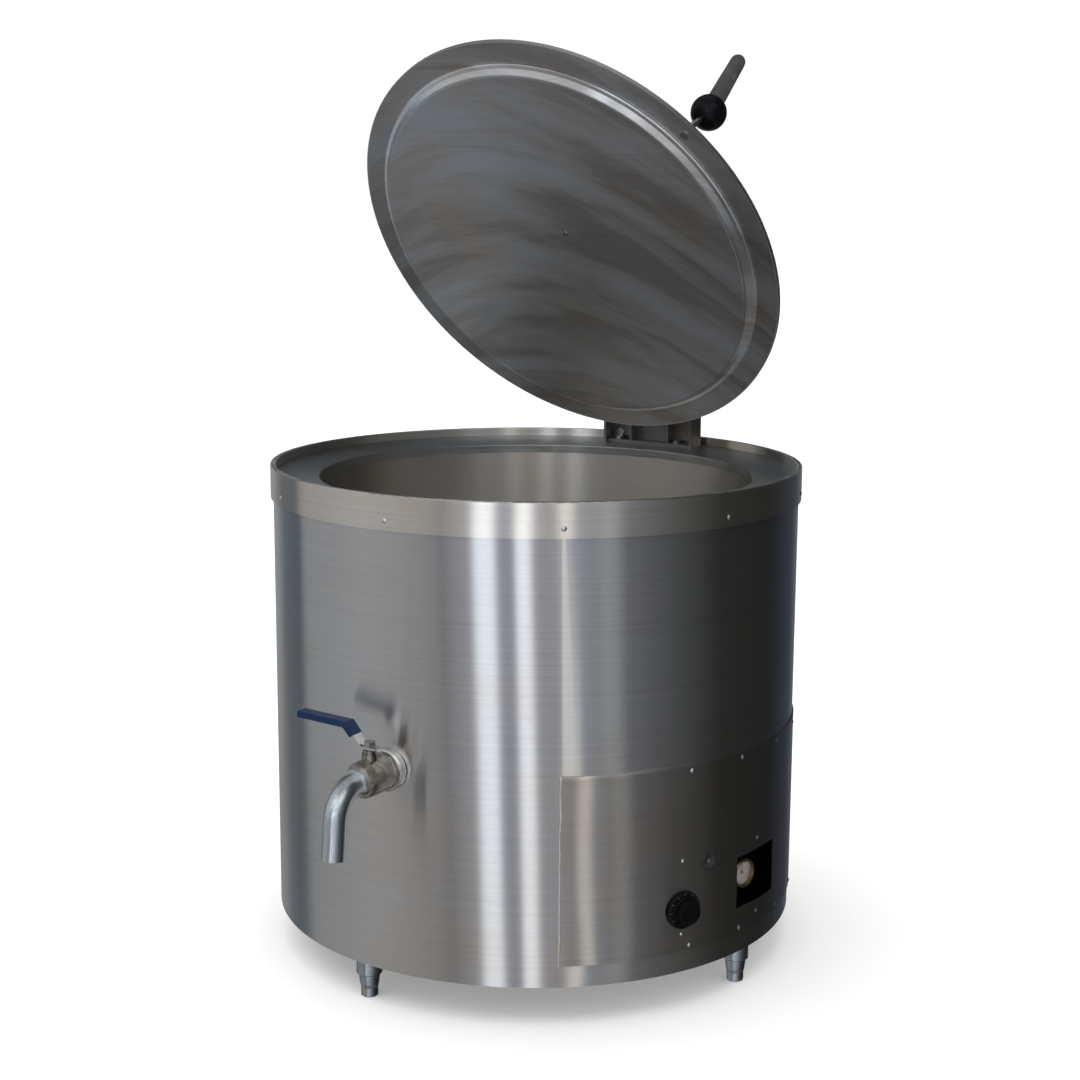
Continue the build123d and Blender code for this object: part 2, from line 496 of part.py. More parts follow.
# spout: adapter collar and a bend turned down
SP0 = V1
SPR = 48.0
SPA = 84.0
SPL = 55.7              # straight tail
pc = radial(VALVE_AZ, SP0 + 8, VALVE_Z)
ringf = Circle(SPOUT_OD / 2) - Circle(SPOUT_ID / 2)
ax = Axis(origin=tuple(pc.origin - Vector(0, 0, SPR)), direction=(cos(va), sin(va), 0))
bend = revolve(pc * ringf, ax, SPA)
if bend.center().Z > VALVE_Z:
    bend = revolve(pc * ringf, ax, -SPA)
sadapt = cyl_out(VALVE_AZ, SP0, SP0 + 8, VALVE_Z, 41.0) - cyl_out(VALVE_AZ, SP0 - 1, SP0 + 9, VALVE_Z, SPOUT_ID)
# straight tail on the end of the bend
sa = radians(SPA)
e_o = pc.origin - Vector(0, 0, SPR) + er * (SPR * sin(sa)) + Vector(0, 0, SPR * cos(sa))
e_d = er * cos(sa) - Vector(0, 0, 1) * sin(sa)
tail = extrude(Plane(origin=e_o, x_dir=(cos(va), sin(va), 0), z_dir=e_d) * ringf, amount=SPL, dir=e_d)
spout = sadapt + bend + tail
keep("spout", spout)
SPOUT_END = e_o + e_d * SPL

# ---- control panel --------------------------------------------------------
pn = sector(PANEL_R0, PANEL_R1, PANEL_Z0, PANEL_Z1, PANEL_A0, PANEL_A1)
pn -= sector(400, 440, WIN_Z0, WIN_Z1, WIN_A0, WIN_A1)
pn -= cyl_out(KNOB_AZ, 410, 440, KNOB_Z, 12.4)
pn -= cyl_out(LAMP_AZ, 410, 440, LAMP_Z, 14.4)
AUX = [(66.0, 248.0), (66.0, 133.0), (88.8, 246.5), (89.0, 126.5)]
for a, z in PSCREW + AUX:
    pn -= cyl_out(a, 410, 440, z, 4.0)
keep("control_panel_cover", pn)
ps = [one(rivet(a, PANEL_R1, z, 3.8, 7.6, 1.7, 6.5)) for a, z in PSCREW]
ps += [one(rivet(a, PANEL_R1, z, 3.8, 6.6, 1.5, 6.0)) for a, z in AUX]
keep("panel_screws", Compound(ps))

# thermostat: box behind the panel, threaded bush, shaft and knob
th = box_out(KNOB_AZ, 372, 417, KNOB_Z - 23, KNOB_Z + 23, 46)
th += cyl_out(KNOB_AZ, 417, 427.2, KNOB_Z, 12.0)
th -= cyl_out(KNOB_AZ, 395, 440, KNOB_Z, 6.1)
keep("thermostat_body", th)
kn_p = radial(KNOB_AZ, 428.4, KNOB_Z)
kn_f = make_face(Polyline((3.0, 0, 0), (29.0, 0, 0), (29.0, 0, 3.2), (27.6, 0, 4.6), (21.0, 0, 6.0), (19.4, 0, 8.0), (18.4, 0, 19.6), (17.0, 0, 21.0),
                          (0, 0, 21.0), (0, 0, 16.0), (3.0, 0, 16.0), close=True))
kn = revolve(kn_f, Axis.Z)
for i in range(18):
    kn -= Rot(0, 0, 20 * i + 10) * Pos(20.2, 0, 15) * Cylinder(1.9, 13.0)
kn -= Pos(0, 14, 21.0) * Box(1.6, 8.0, 1.2)
keep("thermostat_knob", kn_p * kn + cyl_out(KNOB_AZ, 396, 444.6, KNOB_Z, 6.0))
# bulb pocket in the sump and the capillary to it
pk = cyl_out(POCKET_AZ, 210, 312, POCKET_Z, 14.0) - cyl_out(POCKET_AZ, 216, 320, POCKET_Z, 10.0)
bulb = cyl_out(POCKET_AZ, 218, 306, POCKET_Z, 9.6)
tb = radial(KNOB_AZ, 372, KNOB_Z - 12).origin
be = radial(POCKET_AZ, 306, POCKET_Z).origin
d1 = -radial(KNOB_AZ, 1, 0).z_dir
d2 = radial(POCKET_AZ, 1, 0).z_dir
cap_pts = [tb, tb + d1 * 30, be + d2 * 32, be]
cap_path = FilletPolyline(*[tuple(p) for p in cap_pts], radius=12.0)
cap = sweep(Plane(origin=cap_path @ 0, z_dir=cap_path % 0) * Circle(1.5), path=cap_path)
keep("thermostat_bulb", bulb + cap)

# indicator lamp
lp = cyl_out(LAMP_AZ, 392, 431.4, LAMP_Z, 14.0)
bz = cyl_out(LAMP_AZ, 427.5, 431.4, LAMP_Z, 23.0)
lp = lp + bz - cyl_out(LAMP_AZ, 424, 440, LAMP_Z, 11.0)
lp += cyl_out(LAMP_AZ, 418.5, 423.4, LAMP_Z, 19.0) - cyl_out(LAMP_AZ, 400, 424, LAMP_Z, 14.0)
keep("lamp_body", lp)
lens_p = radial(LAMP_AZ, 424.0, LAMP_Z)
lens_f = make_face(Polyline((0, 0, 0), (5.5, 0, 0), (5.5, 0, 7.6), (4.4, 0, 9.2), (2.4, 0, 10.2), (0, 0, 10.5), close=True))
keep("lamp_lens", lens_p * revolve(lens_f, Axis.Z))

# pressure gauge and its connection to the sump
gx0, gy0 = at(GAUGE_AZ, 376)
ga = radians(GAUGE_AZ - GAUGE_TURN)
gp = Plane(origin=(gx0, gy0, GAUGE_Z), x_dir=(cos(ga), sin(ga), 0), z_dir=(sin(ga), -cos(ga), 0))
case_f = make_face(Polyline((0, 0, 0), (20.5, 0, 0), (22.0, 0, 1.5), (22.0, 0, 22), (23.4, 0, 22), (23.4, 0, 27.6), (22.4, 0, 28.6),
                            (19.6, 0, 28.6), (19.6, 0, 26.6), (20.6, 0, 26.6), (20.6, 0, 3), (0, 0, 3), close=True))
keep("gauge_case", gp * revolve(case_f, Axis.Z))
dial = Cylinder(20.4, 1.0)
keep("gauge_dial", gp * Pos(0, 0, 20.0) * (dial - Cylinder(1.55, 3)) + gp * Pos(0, 0, 11.25) * (Cylinder(9.0, 16.5) - Cylinder(1.55, 30)))
keep("gauge_glass", gp * Pos(0, 0, 25.6) * Cylinder(20.5, 1.6))
nd = Pos(0, 5.0, 22.3) * Box(1.3, 19.0, 0.6) + Pos(0, 0, 22.3) * Cylinder(2.6, 1.2) + Pos(0, 0, 17.0) * Cylinder(1.5, 10.6)
keep("gauge_needle", gp * nd)
mf = cyl_out(GAUGE_AZ, 292, 382, GAUGE_Z, 13.5) - gp * Pos(0, 0, 30) * Box(80, 80, 60) - cyl_out(GAUGE_AZ, 290, 366, GAUGE_Z, 8.0)
mf += box_out(GAUGE_AZ, 332, 356, GAUGE_Z - 12, GAUGE_Z + 12, 24) - cyl_out(GAUGE_AZ, 320, 366, GAUGE_Z, 8.0)
gx, gy = at(GAUGE_AZ, 344)
mf += vcyl(gx, gy, GAUGE_Z + 12, GAUGE_Z + 22, 15.0) - vcyl(gx, gy, GAUGE_Z, GAUGE_Z + 12, 6.0)
mf -= vcyl(gx, gy, GAUGE_Z, GAUGE_Z + 30, 6.0)
mf += vcyl(gx, gy, GAUGE_Z - 30, GAUGE_Z - 12, 13.0)
mf += hex_out(GAUGE_AZ, 356, 364, GAUGE_Z, 18.0) - cyl_out(GAUGE_AZ, 350, 366, GAUGE_Z, 8.0)
# blow-down cone under the tee
cone_f = make_face(Polyline((0, 0, -46), (5.0, 0, -46), (10.5, 0, -34), (10.5, 0, -30), (0, 0, -30), close=True))
keep("gauge_manifold", mf + Pos(gx, gy, GAUGE_Z) * revolve(cone_f, Axis.Z))
# safety valve on top of the tee: body, and the lifting knob that travels upward
sz = GAUGE_Z + 22
svb = Pos(gx, gy, sz) * extrude(RegularPolygon(11.0, 6, major_radius=False), amount=12) + vcyl(gx, gy, sz + 12, sz + 44, 20.0)
svb -= vcyl(gx, gy, sz + 20, sz + 60, 8.1)
svb -= vcyl(gx, gy, sz - 1, sz + 20, 6.0)
svb -= vcyl(gx, gy, sz + 10, sz + 40, 15.0)
svb -= cyl_out(GAUGE_AZ, 344, 360, sz + 26, 6.0)
keep("safety_valve_body", svb)
svk = vcyl(gx, gy, sz + 11, sz + 50, 8.0) + vcyl(gx, gy, sz + 10.3, sz + 13.3, 13.0) + vcyl(gx, gy, sz + 44.4, sz + 52.4, 16.0)
keep("safety_valve_knob", svk)

# heating elements on a flange
noz = cyl_out(ELEM_AZ, 270, 318, ELEM_Z, 76.0) - cyl_out(ELEM_AZ, 260, 330, ELEM_Z, 68.0)
noz = noz & (Pos(0, 0, 200) * (Cylinder(330, 400) - Cylinder(SUMP_R - 6, 500)))
flg = box_out(ELEM_AZ, 318, 326, ELEM_Z - 39, ELEM_Z + 47, 92)
LEGS = []
for dz in (-22, 0, 22):
    for t in (-16, 16):
        LEGS.append((t, dz))
for t, dz in LEGS:
    flg -= cyl_out(ELEM_AZ, 310, 330, ELEM_Z + dz, 8.5, t)
FB = [(-38, -31), (38, -31), (-38, 39), (38, 39)]
back_f = box_out(ELEM_AZ, 312, 318, ELEM_Z - 39, ELEM_Z + 47, 92) - cyl_out(ELEM_AZ, 300, 330, ELEM_Z, 76.0)
for t, dz in FB:
    flg -= cyl_out(ELEM_AZ, 310, 330, ELEM_Z + dz, 8.4, t)
    back_f -= cyl_out(ELEM_AZ, 310, 330, ELEM_Z + dz, 8.4, t)
keep("steam_jacket", jk + pk + noz + back_f)
keep("element_flange", flg)
hp_list = []
for dz in (-22, 0, 22):
    legs2 = cyl_out(ELEM_AZ, 100, 340, ELEM_Z + dz, 8.5, -16) + cyl_out(ELEM_AZ, 100, 340, ELEM_Z + dz, 8.5, 16)
    cpl = radial(ELEM_AZ, 100, ELEM_Z + dz)
    axu = Axis(origin=tuple(cpl.origin), direction=(0, 0, 1))
    u = revolve(Plane(origin=cpl.origin + cpl.x_dir * 16, x_dir=cpl.x_dir, z_dir=cpl.z_dir) * Circle(4.25), axu, 180)
    if (u.center() - cpl.origin).dot(cpl.z_dir) > 0:
        u = revolve(Plane(origin=cpl.origin + cpl.x_dir * 16, x_dir=cpl.x_dir, z_dir=cpl.z_dir) * Circle(4.25), axu, -180)
    hp_list.append(one(legs2 + u))
keep("heating_elements", Compound(hp_list))
fb = []
for t, dz in FB:
    b = hex_out(ELEM_AZ, 326, 331.3, ELEM_Z + dz, 13.0, t) + cyl_out(ELEM_AZ, 304, 326, ELEM_Z + dz, 8.0, t)
    b += cyl_out(ELEM_AZ, 306, 312, ELEM_Z + dz, 13.0, t)
    fb.append(one(b))
keep("bracket_and_flange_bolts", Compound(bracket_bolts + fb))
# low-water electrode
pb = cyl_out(PROBE_AZ, 292, 318, PROBE_Z, 16.0) + hex_out(PROBE_AZ, 306, 316, PROBE_Z, 22.0)
pb += cyl_out(PROBE_AZ, 222, 334, PROBE_Z, 5.0)
keep("low_water_probe", pb)

# electrical parts on a plate carried by the sump wall
CP_AZ = 112.0
cp = box_out(CP_AZ, 338, 340, 240, 372, 120)
for t in (-45, 45):
    for z in (256, 356):
        cp += cyl_out(CP_AZ, 294, 338, z, 10.0, t) - Pos(0, 0, 300) * Cylinder(SUMP_R, 600)
keep("component_plate", cp)
ct = box_out(CP_AZ, 340, 392, 282, 362, 45, -25) + box_out(CP_AZ, 392, 404, 296, 348, 30, -25)
ct -= box_out(CP_AZ, 380, 400, 350, 372, 39, -25)
keep("contactor", ct)
tbk = box_out(CP_AZ, 340, 362, 262, 362, 16, 34)
for i in range(6):
    tbk -= cyl_out(CP_AZ, 356, 370, 272 + 16 * i, 7.0, 34)
keep("terminal_block", tbk)
# wiring loom, contactor to the element terminals
q0 = radial(CP_AZ, 366, 282).origin + radial(CP_AZ, 0, 0).x_dir * -25
q3 = radial(ELEM_AZ, 346, ELEM_Z + 34).origin
loom_path = FilletPolyline(tuple(q0), tuple(q0 - Vector(0, 0, 48)), tuple(q3 + Vector(0, 0, 34)), tuple(q3), radius=18.0)
loom = sweep(Plane(origin=loom_path @ 0, z_dir=loom_path % 0) * Circle(4.0), path=loom_path)
keep("wiring_loom", loom)
tcap = box_out(ELEM_AZ, 340, 352, ELEM_Z - 30, ELEM_Z + 34, 52)
keep("element_terminal_cap", tcap)

# supply gland, low at the back
gb = hex_out(GLAND_AZ, BODY_R + 0.4, BODY_R + 8, GLAND_Z, 30.0) + cyl_out(GLAND_AZ, 412, 446, GLAND_Z, 24.0)
gb += hex_out(GLAND_AZ, BODY_R + 13, BODY_R + 24, GLAND_Z, 28.0)
gb += hex_out(GLAND_AZ, 416.5, BODY_R - SHEET - 0.9, GLAND_Z, 32.0)
gb -= cyl_out(GLAND_AZ, 400, 470, GLAND_Z, 13.0)
gb -= cyl_out(GLAND_AZ, 400, 430, GLAND_Z, 15.0)
keep("cable_gland", gb)

for name, shape in OUT.items():
    s = Pos(0, 0, -FLOOR) * shape
    sols = s.solids()
    if len(sols) == 1:
        export_step(sols[0], "parts/%s.step" % name)
    else:
        export_step(Compound(list(sols)), "parts/%s.step" % name)
print("nodes", len(OUT))
print("spout end", SPOUT_END, "dir", e_d)
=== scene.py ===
import bpy, bmesh, math
from math import sin, cos, radians, pi
from mathutils import Vector, Matrix

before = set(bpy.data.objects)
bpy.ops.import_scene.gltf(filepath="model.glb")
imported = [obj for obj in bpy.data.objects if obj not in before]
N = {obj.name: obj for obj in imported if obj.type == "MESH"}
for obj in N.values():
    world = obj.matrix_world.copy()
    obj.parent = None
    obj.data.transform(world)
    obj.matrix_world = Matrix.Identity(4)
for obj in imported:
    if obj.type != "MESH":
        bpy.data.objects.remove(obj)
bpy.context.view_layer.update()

# ---------------------------------------------------------------- constants, metres, as in the CAD
LID_OPEN = radians(55.8)
PIN = Vector((0.0, 0.377, 0.874))
VIEW_AZ = 34.6                      # the camera stands at this azimuth, 0 at -Y and 90 at +X


def at(az, r, z):
    a = radians(az)
    return Vector((r * sin(a), -r * cos(a), z))


# ---------------------------------------------------------------- camera
def make_camera():
    right0 = Vector((cos(radians(VIEW_AZ)), sin(radians(VIEW_AZ)), 0))
    fwd0 = Vector((-sin(radians(VIEW_AZ)), cos(radians(VIEW_AZ)), 0))
    yaw, pitch, roll = 0.0022, 0.1824, 0.0059
    fwd = right0 * (sin(yaw) * cos(pitch)) + fwd0 * (cos(yaw) * cos(pitch)) - Vector((0, 0, 1)) * sin(pitch)
    right1 = right0 * cos(yaw) - fwd0 * sin(yaw)
    up1 = right1.cross(fwd)
    right = right1 * cos(roll) + up1 * sin(roll)
    up = up1 * cos(roll) - right1 * sin(roll)
    data = bpy.data.cameras.new("camera")
    data.sensor_width = 36.0
    data.lens = 63.21
    data.clip_start, data.clip_end = 0.05, 200.0
    cam = bpy.data.objects.new("camera", data)
    bpy.context.scene.collection.objects.link(cam)
    m = Matrix((right, up, -fwd)).transposed().to_4x4()
    m.translation = Vector((1.7379, -2.5193, 1.2185))
    cam.matrix_world = m
    bpy.context.scene.camera = cam


make_camera()
bpy.context.scene.view_settings.view_transform = "Standard"


# ---------------------------------------------------------------- node helpers
class Mat:
    """A small builder for procedural materials."""

    def __init__(self, name):
        self.m = bpy.data.materials.new(name)
        self.m.use_nodes = True
        self.nt = self.m.node_tree
        self.nt.nodes.clear()
        self.out = self.nt.nodes.new("ShaderNodeOutputMaterial")
        self.bsdf = self.nt.nodes.new("ShaderNodeBsdfPrincipled")
        self.nt.links.new(self.bsdf.outputs[0], self.out.inputs[0])

    def n(self, kind, **props):
        x = self.nt.nodes.new("ShaderNode" + kind)
        for k, v in props.items():
            setattr(x, k, v)
        return x

    def link(self, a, b):
        self.nt.links.new(a, b)

    def put(self, sock, v):
        if isinstance(v, bpy.types.NodeSocket):
            self.nt.links.new(v, sock)
        elif isinstance(v, (tuple, list, Vector)) and len(v) == 3 and len(sock.default_value) == 4:
            sock.default_value = (*v, 1.0)
        else:
            sock.default_value = v

    def obj(self):
        if not hasattr(self, "_obj"):
            self._obj = self.n("TexCoord").outputs["Object"]
        return self._obj

    def math(self, op, a, b=0.0, c=None, clamp=False):
        x = self.n("Math", operation=op, use_clamp=clamp)
        self.put(x.inputs[0], a)
        self.put(x.inputs[1], b)
        if c is not None:
            self.put(x.inputs[2], c)
        return x.outputs[0]

    def vmath(self, op, a, b=(0, 0, 0)):
        x = self.n("VectorMath", operation=op)
        self.put(x.inputs[0], a)
        if op == "SCALE":
            self.put(x.inputs["Scale"], b)
        else:
            self.put(x.inputs[1], b)
        return x.outputs["Value"] if op in ("DOT_PRODUCT", "LENGTH", "DISTANCE") else x.outputs[0]

    def sep(self, v):
        x = self.n("SeparateXYZ")
        self.put(x.inputs[0], v)
        return x.outputs

    def comb(self, x0, y0, z0):
        x = self.n("CombineXYZ")
        for i, v in enumerate((x0, y0, z0)):
            self.put(x.inputs[i], v)
        return x.outputs[0]

    def noise(self, vec, scale=1.0, detail=2.0, rough=0.5, dist=0.0, kind="FBM", color=False):
        x = self.n("TexNoise")
        x.noise_dimensions = "3D"
        try:
            x.noise_type = kind
        except Exception:
            pass
        self.put(x.inputs["Vector"], vec)
        x.inputs["Scale"].default_value = scale
        x.inputs["Detail"].default_value = detail
        x.inputs["Roughness"].default_value = rough
        x.inputs["Distortion"].default_value = dist
        return x.outputs["Color" if color else "Fac"]

    def ramp(self, fac, stops, interp="LINEAR"):
        x = self.n("ValToRGB")
        cr = x.color_ramp
        cr.interpolation = interp
        while len(cr.elements) > 1:
            cr.elements.remove(cr.elements[-1])
        for i, (p, c) in enumerate(stops):
            e = cr.elements[0] if i == 0 else cr.elements.new(p)
            e.position = p
            c = (c, c, c) if isinstance(c, (int, float)) else c
            e.color = (*c, 1.0)
        self.put(x.inputs[0], fac)
        return x.outputs[0]

    def remap(self, v, a, b, c, d, smooth=False):
        x = self.n("MapRange")
        x.interpolation_type = "SMOOTHSTEP" if smooth else "LINEAR"
        self.put(x.inputs[0], v)
        for i, k in enumerate((a, b, c, d)):
            self.put(x.inputs[1 + i], k)
        return x.outputs[0]

    def mix(self, fac, a, b, blend="MIX"):
        x = self.n("Mix", data_type="RGBA", blend_type=blend)
        self.put(x.inputs[0], fac)
        self.put(x.inputs[6], a)
        self.put(x.inputs[7], b)
        return x.outputs[2]

    def bump(self, height, strength=1.0, dist=0.001, normal=None):
        x = self.n("Bump")
        x.inputs["Strength"].default_value = strength
        x.inputs["Distance"].default_value = dist
        self.put(x.inputs["Height"], height)
        if normal is not None:
            self.put(x.inputs["Normal"], normal)
        return x.outputs[0]

    def set(self, **kw):
        names = {"color": "Base Color", "metal": "Metallic", "rough": "Roughness", "normal": "Normal", "aniso": "Anisotropic",
                 "tangent": "Tangent", "coat": "Coat Weight", "coat_rough": "Coat Roughness", "ior": "IOR", "alpha": "Alpha",
                 "trans": "Transmission Weight", "spec": "Specular IOR Level", "sheen": "Sheen Weight"}
        for k, v in kw.items():
            self.put(self.bsdf.inputs[names[k]], v)
        return self

    def stretched(self, vec, s):
        return self.vmath("MULTIPLY", vec, s)


def lid_coords(m):
    """Coordinates of the closed lid, measured from the hinge pin, so that they stay with the lid."""
    v = m.vmath("SUBTRACT", m.obj(), tuple(PIN))
    r = m.n("VectorRotate", rotation_type="X_AXIS")
    m.put(r.inputs["Vector"], v)
    r.inputs["Angle"].default_value = LID_OPEN
    return r.outputs[0]


def to_world(m, vec):
    x = m.n("VectorTransform", vector_type="VECTOR", convert_from="OBJECT", convert_to="WORLD")
    m.put(x.inputs[0], vec)
    return x.outputs[0]


# ---------------------------------------------------------------- steel
def steel(name, color, rough, aniso, tangent, lines, stain=0.12, warm=(0.50, 0.44, 0.37), wob=0.0, wob_vec=None, base=None,
          line_amp=0.06, bump=0.25, coords=None, blotch=5.0, colour_overlay=None, edge=False, twist=0.0, turned=None, depth=0.00006):
    """Brushed stainless.  lines is the scale of the stretched noise that draws the brush lines; tangent is the
    direction across them, along which the highlight is drawn out."""
    m = Mat(name)
    P = coords(m) if coords else m.obj()
    brush = m.noise(m.stretched(P, lines), 1.0, 3.0, 0.65)
    coarse = m.noise(m.stretched(P, tuple(x * 0.22 for x in lines)), 1.0, 2.0, 0.6)
    cloud = m.noise(P, blotch, 3.0, 0.55, 0.4)
    fine = m.noise(P, blotch * 9.0, 3.0, 0.6, 0.2)
    dark = tuple(c * (1.0 - line_amp) for c in color)
    lite = tuple(min(1.0, c * (1.0 + line_amp * 0.75)) for c in color)
    c = m.mix(m.remap(brush, 0.25, 0.75, 0, 1), dark, lite)
    c = m.mix(m.remap(coarse, 0.35, 0.72, 0.0, 0.45, True), c, m.mix(1.0, c, (0.93, 0.93, 0.935), "MULTIPLY"))
    tint = m.mix(1.0, c, tuple(w * 2.0 for w in warm), "MULTIPLY")
    c = m.mix(m.math("MULTIPLY", m.remap(cloud, 0.42, 0.70, 0, 1, True), min(1.0, stain * 4.0)), c, tint)
    c = m.mix(m.remap(fine, 0.62, 0.80, 0.0, stain * 1.2, True), c, tuple(x * 0.55 for x in color))
    # an extra colour pass; on the lid's underside it holds painted reflection
    if colour_overlay is not None:
        c = colour_overlay(m, P, c)
    r = m.math("ADD", m.remap(brush, 0.2, 0.8, rough * 0.92, rough * 1.08), m.remap(cloud, 0.3, 0.75, -0.010, 0.025))
    r = m.math("ADD", r, m.remap(fine, 0.6, 0.85, 0.0, 0.03))
    if turned is not None:
        # a turned ring with its own roughness, brightened by a colour gain that is painted highlight: inner radius,
        # outer radius, colour gain, roughness
        s = m.sep(P)
        y = m.math("ADD", s[1], 0.377)
        rad = m.math("SQRT", m.math("ADD", m.math("MULTIPLY", s[0], s[0]), m.math("MULTIPLY", y, y)))
        on = m.math("MULTIPLY", m.remap(rad, turned[0] - 0.001, turned[0] + 0.001, 0, 1), m.remap(rad, turned[1] - 0.001, turned[1] + 0.001, 1, 0))
        c = m.mix(on, c, m.mix(1.0, c, (turned[2],) * 3, "MULTIPLY"))
        r = m.math("ADD", m.math("MULTIPLY", r, m.math("SUBTRACT", 1.0, on)), m.math("MULTIPLY", on, turned[3]))
    normal = None
    if twist:
        # the rolled sheet is very slightly twisted, so upright reflections drift to one side on their way down
        a0 = radians(VIEW_AZ)
        across = m.vmath("DOT_PRODUCT", P, (cos(a0), sin(a0), 0.0))
        normal = m.bump(m.math("MULTIPLY", m.math("MULTIPLY", across, m.math("SUBTRACT", m.sep(P)[2], 0.72)), -twist), 1.0, 1.0)
    if wob:
        w = m.noise(m.stretched(P, wob_vec or (3.2, 3.2, 0.7)), 1.0, 2.0, 0.45)
        if edge:
            # heights in metres: the cover is pulled in along its near edge, and its near and top edges are rolled over
            s = m.sep(P)
            az = m.math("ARCTAN2", s[0], m.math("MULTIPLY", s[1], -1.0))
            u = m.math("SUBTRACT", 1.0, m.remap(az, radians(39.3), radians(62.0), 0.0, 1.0))
            pull = m.math("MULTIPLY", m.math("MULTIPLY", u, u), -0.0058)
            wavy = m.noise(m.comb(0.0, 0.0, m.math("MULTIPLY", s[2], 26.0)), 1.0, 2.0, 0.6)
            wide = m.remap(wavy, 0.35, 0.65, 0.0030, 0.0075)
            d1 = m.math("SUBTRACT", 1.0, m.math("DIVIDE", m.math("MULTIPLY", m.math("SUBTRACT", az, radians(39.3)), 0.4273), wide, clamp=True))
            d2 = m.math("SUBTRACT", 1.0, m.math("DIVIDE", m.math("SUBTRACT", 0.3835, s[2]), 0.0055, clamp=True))
            roll1 = m.math("MULTIPLY", m.math("MULTIPLY", m.math("MULTIPLY", d1, d1), wide), 0.085)
            roll2 = m.math("MULTIPLY", m.math("MULTIPLY", d2, d2), -0.00085)
            normal = m.bump(m.math("ADD", m.math("ADD", pull, roll1), roll2), 1.0, 1.0, normal)
        normal = m.bump(w, 1.0, wob, normal)
    nrm = m.bump(brush, bump, depth, normal)
    m.set(color=c, metal=1.0, rough=r, aniso=aniso, normal=nrm)
    if tangent is not None:
        m.set(tangent=tangent(m))
    return m.m


up_tangent = lambda m: m.comb(0.0, 0.0, 1.0)
radial_tangent = lambda m: m.vmath("MULTIPLY", m.obj(), (1.0, 1.0, 0.0))


def lid_tangent(m):
    # across the brush lines, which run along X: up the slope of the lid
    return to_world(m, (0.0, cos(LID_OPEN), -sin(LID_OPEN)))


def pan_tangent(m):
    """Across the brush lines on the flat panel; outward in the lid's own plane on the turned plug ring and the flange."""
    P = lid_coords(m)
    s = m.sep(P)
    y = m.math("ADD", s[1], 0.377)
    rad = m.math("SQRT", m.math("ADD", m.math("MULTIPLY", s[0], s[0]), m.math("MULTIPLY", y, y)))
    on = m.remap(rad, 0.3255, 0.3270, 0, 1)
    # back from the closed lid to the lid as it stands
    out = m.n("VectorRotate", rotation_type="X_AXIS")
    m.put(out.inputs["Vector"], m.comb(m.math("DIVIDE", s[0], rad), m.math("DIVIDE", y, rad), 0.0))
    out.inputs["Angle"].default_value = -LID_OPEN
    flat = (0.0, cos(LID_OPEN), -sin(LID_OPEN))
    a = m.vmath("SCALE", flat, m.math("SUBTRACT", 1.0, on))
    b = m.vmath("SCALE", out.outputs[0], on)
    return to_world(m, m.vmath("ADD", a, b))


def shell_lower_tint_and_wipes(m, P, c):
    # the sheet turns slightly browner towards the bottom, with long soft wipes round it
    z = m.sep(P)[2]
    low = m.remap(z, 0.55, 0.10, 0.0, 0.55, True)
    c = m.mix(m.math("MULTIPLY", low, m.remap(m.noise(m.stretched(P, (2.0, 2.0, 9.0)), 1.0, 2.0, 0.5, 0.6), 0.3, 0.7, 0.3, 1.0)),
              c, m.mix(1.0, c, (0.97, 0.90, 0.82), "MULTIPLY"))
    wipes = m.noise(m.stretched(P, (7.0, 7.0, 60.0)), 1.0, 3.0, 0.6, 0.8)
    return m.mix(m.remap(wipes, 0.58, 0.78, 0.0, 0.16, True), c, (0.36, 0.35, 0.34))


MAT = {}
MAT["shell"] = steel("brushed_shell", (0.60, 0.60, 0.605), 0.20, 1.0, up_tangent, (2.2, 2.2, 620.0), stain=0.08, wob=0.0022,
                     colour_overlay=shell_lower_tint_and_wipes, twist=0.07)
MAT["panel"] = steel("brushed_panel", (0.50, 0.49, 0.48), 0.22, 1.0, up_tangent, (2.6, 2.6, 560.0), stain=0.12, wob=0.0030,
                     wob_vec=(4.5, 4.5, 2.2), colour_overlay=shell_lower_tint_and_wipes, edge=True, twist=0.07)
MAT["rim"] = steel("brushed_rim", (0.76, 0.725, 0.68), 0.24, 1.0, up_tangent, (2.8, 2.8, 520.0), stain=0.16, wob=0.0010,
                   wob_vec=(5.0, 5.0, 3.0))
MAT["deck"] = steel("brushed_deck", (0.39, 0.405, 0.415), 0.33, 0.7, radial_tangent, (3.0, 3.0, 300.0), stain=0.14, wob=0.0010,
                    wob_vec=(5.0, 5.0, 5.0), line_amp=0.08)
MAT["vessel"] = steel("brushed_vessel", (0.58, 0.555, 0.52), 0.34, 1.0, up_tangent, (1.2, 1.2, 560.0), stain=0.06, wob=0.0008,
                      line_amp=0.03)


